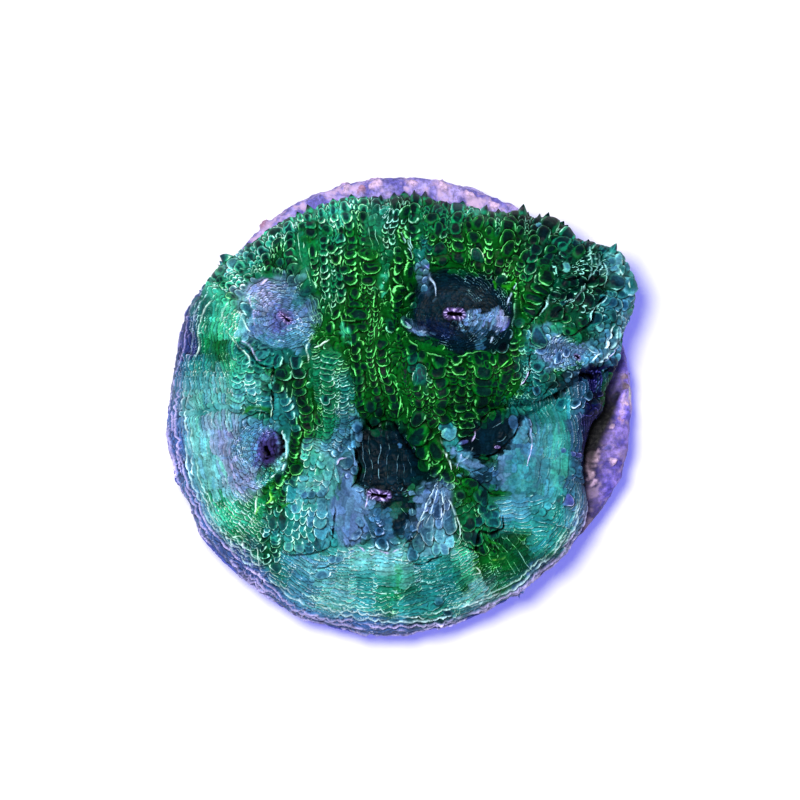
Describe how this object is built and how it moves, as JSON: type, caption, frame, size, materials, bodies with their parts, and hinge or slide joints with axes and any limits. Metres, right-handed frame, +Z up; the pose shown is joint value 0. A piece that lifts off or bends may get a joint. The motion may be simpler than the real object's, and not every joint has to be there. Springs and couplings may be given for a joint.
{
  "type": "acan coral on a frag disc",
  "caption": "Fleshy acan coral colony with beaded polyps, grown over a round encrusted frag disc that stands on its flat underside.",
  "frame": {"origin": "centre of the frag disc's flat underside", "axes": "+Z up through the disc and the colony; +X towards the side where the disc's rim is bare; +Y towards the high side of the colony"},
  "size_m": [0.0381, 0.0379, 0.0131],
  "materials": {
    "encrusted_ceramic": "rough ceramic disc under a grainy lilac and pink coralline crust",
    "coral_flesh": "wet translucent flesh of green, mint and blue-purple beads"
  },
  "bodies": {
    "root": {"frag_disc": "encrusted_ceramic", "coral_colony": "coral_flesh"}
  },
  "joints": []
}
